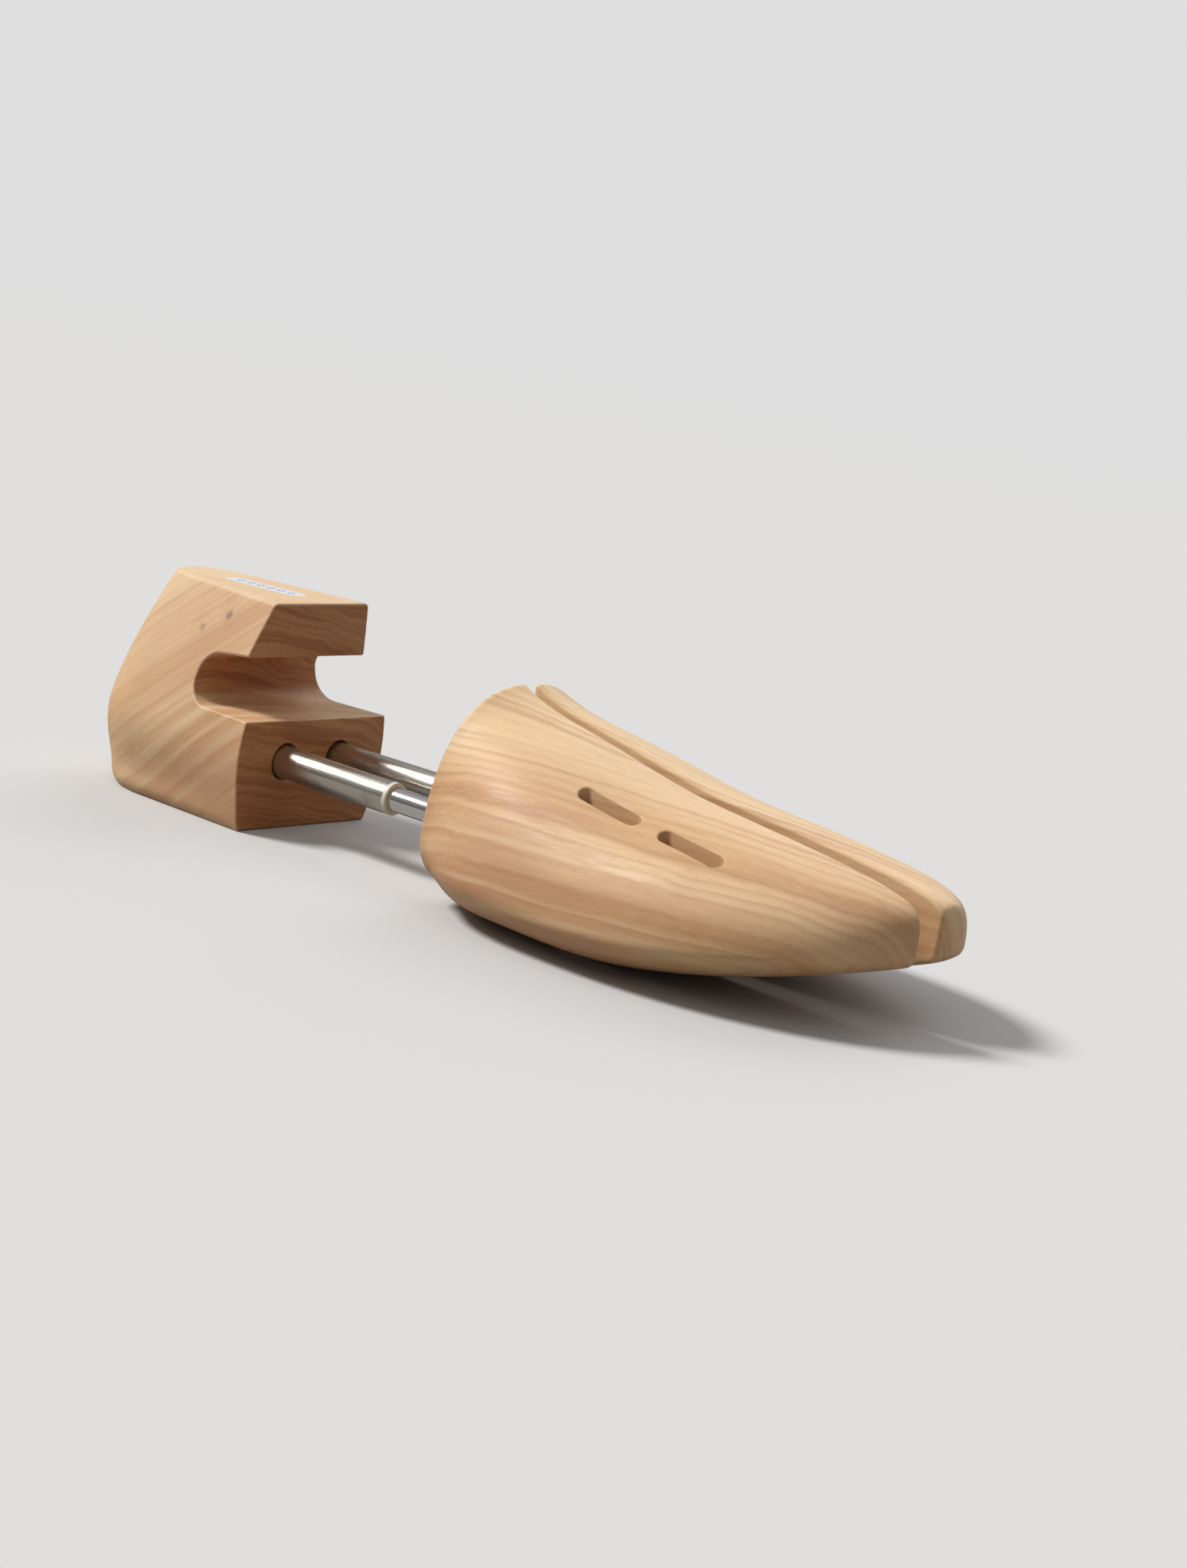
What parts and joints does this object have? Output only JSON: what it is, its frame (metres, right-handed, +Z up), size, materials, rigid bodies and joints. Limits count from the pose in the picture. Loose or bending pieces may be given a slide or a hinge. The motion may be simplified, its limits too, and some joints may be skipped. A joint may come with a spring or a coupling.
{
  "type": "shoe tree",
  "caption": "Wooden shoe tree for a right shoe: contoured heel block with a finger notch, twin spring-loaded metal tubes and a split forepart.",
  "frame": {"origin": "centre of the heel block's flat base, on the surface the tree stands on", "axes": "+X from the heel to the toe, +Y to the wearer's left, +Z up"},
  "size_m": [0.2851, 0.101, 0.066],
  "materials": {
    "heel_wood": "satin",
    "toe_wood": "satin",
    "tube_metal": "satin",
    "rod_metal": "polished",
    "pin_steel": "satin",
    "spring_steel": "oiled",
    "nylon": "matt"
  },
  "bodies": {
    "heel": {"heel_block": "heel_wood", "left_tube_pin": "pin_steel", "right_tube_pin": "pin_steel"},
    "left_arm": {"left_tube": "tube_metal", "left_tube_plug": "nylon", "left_tube_bush": "nylon", "left_main_spring": "spring_steel"},
    "right_arm": {"right_tube": "tube_metal", "right_tube_plug": "nylon", "right_tube_bush": "nylon", "right_main_spring": "spring_steel"},
    "left_toe": {"left_rod": "rod_metal", "left_rod_piston": "nylon", "left_rod_pin": "pin_steel", "left_toe_half": "toe_wood", "rear_guide_pin": "pin_steel", "front_guide_pin": "pin_steel", "rear_spreader_spring": "spring_steel", "front_spreader_spring": "spring_steel"},
    "right_toe": {"right_rod": "rod_metal", "right_rod_piston": "nylon", "right_rod_pin": "pin_steel", "right_toe_half": "toe_wood"}
  },
  "joints": [
    {"name": "left_pivot", "type": "hinge", "parent": "heel", "child": "left_arm", "pos_m": [-0.022, 0.011, 0.02], "axis": [0, 0, 1], "range_deg": [-1, 0], "stiffness_Nm_per_rad": 20, "springref_deg": 2.86, "deforming": ["rear_spreader_spring", "front_spreader_spring"]},
    {"name": "right_pivot", "type": "hinge", "parent": "heel", "child": "right_arm", "pos_m": [-0.022, -0.011, 0.02], "axis": [0, 0, 1], "range_deg": [0, 1], "stiffness_Nm_per_rad": 20, "springref_deg": -2.86},
    {"name": "left_slide", "type": "slide", "parent": "left_arm", "child": "left_toe", "axis": [0.9998, 0.0175, 0], "range_m": [-0.025, 0], "stiffness_N_per_m": 800, "springref_m": 0.01, "deforming": ["left_main_spring"]},
    {"name": "right_slide", "type": "slide", "parent": "right_arm", "child": "right_toe", "axis": [0.9998, -0.0175, 0], "range_m": [-0.025, 0], "stiffness_N_per_m": 800, "springref_m": 0.01, "deforming": ["right_main_spring"]}
  ],
  "couplings": [
    {"joint": "right_pivot", "follows": "left_pivot", "ratio": -1},
    {"joint": "right_slide", "follows": "left_slide", "ratio": 1}
  ]
}
